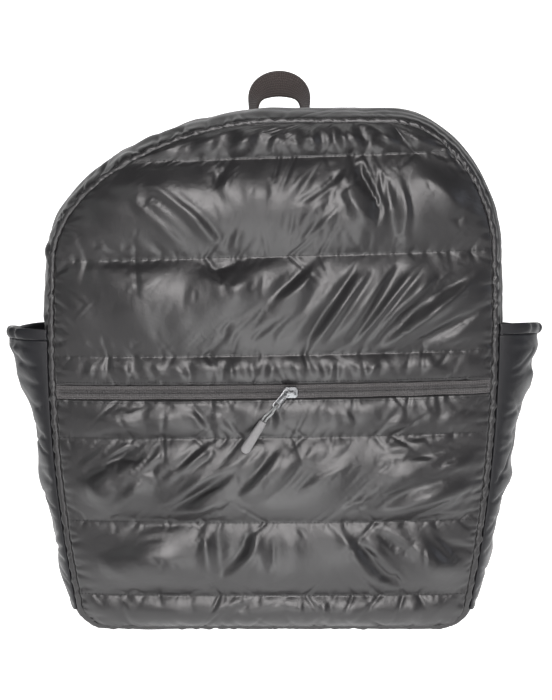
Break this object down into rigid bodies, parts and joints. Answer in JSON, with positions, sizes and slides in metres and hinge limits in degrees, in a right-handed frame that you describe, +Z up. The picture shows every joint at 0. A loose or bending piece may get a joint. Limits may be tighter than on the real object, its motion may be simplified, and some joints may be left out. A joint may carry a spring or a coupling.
{
  "type": "quilted puffer backpack",
  "caption": "Padded quilted backpack with a rounded top, a zipped front pocket with a cord pull, open side pockets, a handle loop and shoulder straps.",
  "frame": {"origin": "middle of the whole bag's footprint, on the surface it stands on", "axes": "+Z up, the front faces -Y, +X is to the right seen from the front"},
  "size_m": [0.4448, 0.1604, 0.4678],
  "materials": {
    "quilted_nylon": "satin charcoal nylon over padding, puckered along its quilting seams",
    "zip_tape": "matte black woven zip tape",
    "zip_coil": "black moulded zip coil",
    "handle_webbing": "brown-grey ribbed webbing",
    "strap_cloth": "matte padded strap cloth",
    "strap_webbing": "black ribbed webbing",
    "buckle_plastic": "black moulded plastic",
    "zip_metal": "bright plated metal",
    "pull_cord": "light grey braided cord",
    "pull_grip": "light grey moulded grip"
  },
  "bodies": {
    "root": {"front_panel_lower": "quilted_nylon", "front_panel_upper": "quilted_nylon", "front_gusset": "quilted_nylon", "back_gusset": "quilted_nylon", "side_panel_left": "quilted_nylon", "side_panel_right": "quilted_nylon", "side_pocket_left": "quilted_nylon", "side_pocket_right": "quilted_nylon", "pocket_hem_left": "quilted_nylon", "pocket_hem_right": "quilted_nylon", "base_panel": "quilted_nylon", "back_panel": "quilted_nylon", "pocket_zip_tape": "zip_tape", "main_zip_tape": "zip_tape", "pocket_zip_coil": "zip_coil", "main_zip_coil": "zip_coil", "handle_loop": "handle_webbing", "shoulder_strap_left": "strap_cloth", "shoulder_strap_right": "strap_cloth", "strap_webbing_left": "strap_webbing", "strap_webbing_right": "strap_webbing", "strap_adjuster_left": "buckle_plastic", "strap_adjuster_right": "buckle_plastic", "pocket_zip_slider": "zip_metal", "pull_tab": "zip_metal", "main_zip_slider": "zip_metal", "pull_cord": "pull_cord", "pull_grip": "pull_grip"}
  },
  "joints": []
}
